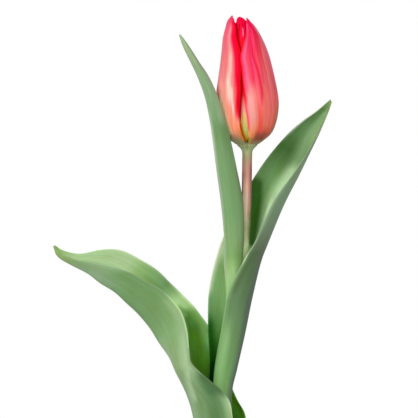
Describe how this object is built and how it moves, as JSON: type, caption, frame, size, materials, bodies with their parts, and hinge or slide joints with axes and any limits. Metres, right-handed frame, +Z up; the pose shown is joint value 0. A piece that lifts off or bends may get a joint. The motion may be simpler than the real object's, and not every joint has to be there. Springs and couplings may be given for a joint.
{
  "type": "potted tulip",
  "caption": "A potted tulip with a closed red-pink bloom on an upright stem, channelled blue-green leaves that clasp it, and a plain round clay pot filled with soil.",
  "frame": {"origin": "centre of the underside of the pot's base, on the surface that it stands on", "axes": "+Z up along the pot's axis; +X to the right, towards the bloom and the leaf_right, and +Y to the back, as seen from the side where leaf_lower arches to the left"},
  "size_m": [0.1405, 0.105, 0.3114],
  "materials": {
    "clay": "matte unglazed terracotta",
    "soil": "rough crumbly potting soil",
    "bulb_skin": "dry papery brown tunic",
    "stem": "smooth waxy plant stem, pink above and pale green below",
    "leaf": "satin waxy leaf with fine parallel veins",
    "tepal": "silky tepal, streaked lengthwise",
    "tepal_inner": "silky tepal, deep red, yellow-green at its foot",
    "pistil": "smooth pale green",
    "stamen": "powdery dark anther"
  },
  "bodies": {
    "root": {"pot": "clay", "soil": "soil", "bulb": "bulb_skin", "stem": "stem", "leaf_lower": "leaf", "leaf_right": "leaf", "leaf_left": "leaf", "tepal_outer_left": "tepal", "tepal_outer_right": "tepal", "tepal_outer_back": "tepal", "tepal_inner_front": "tepal_inner", "tepal_inner_back_left": "tepal_inner", "tepal_inner_back_right": "tepal_inner", "pistil": "pistil", "stamen_1": "stamen", "stamen_2": "stamen", "stamen_3": "stamen", "stamen_4": "stamen", "stamen_5": "stamen", "stamen_6": "stamen"}
  },
  "joints": []
}
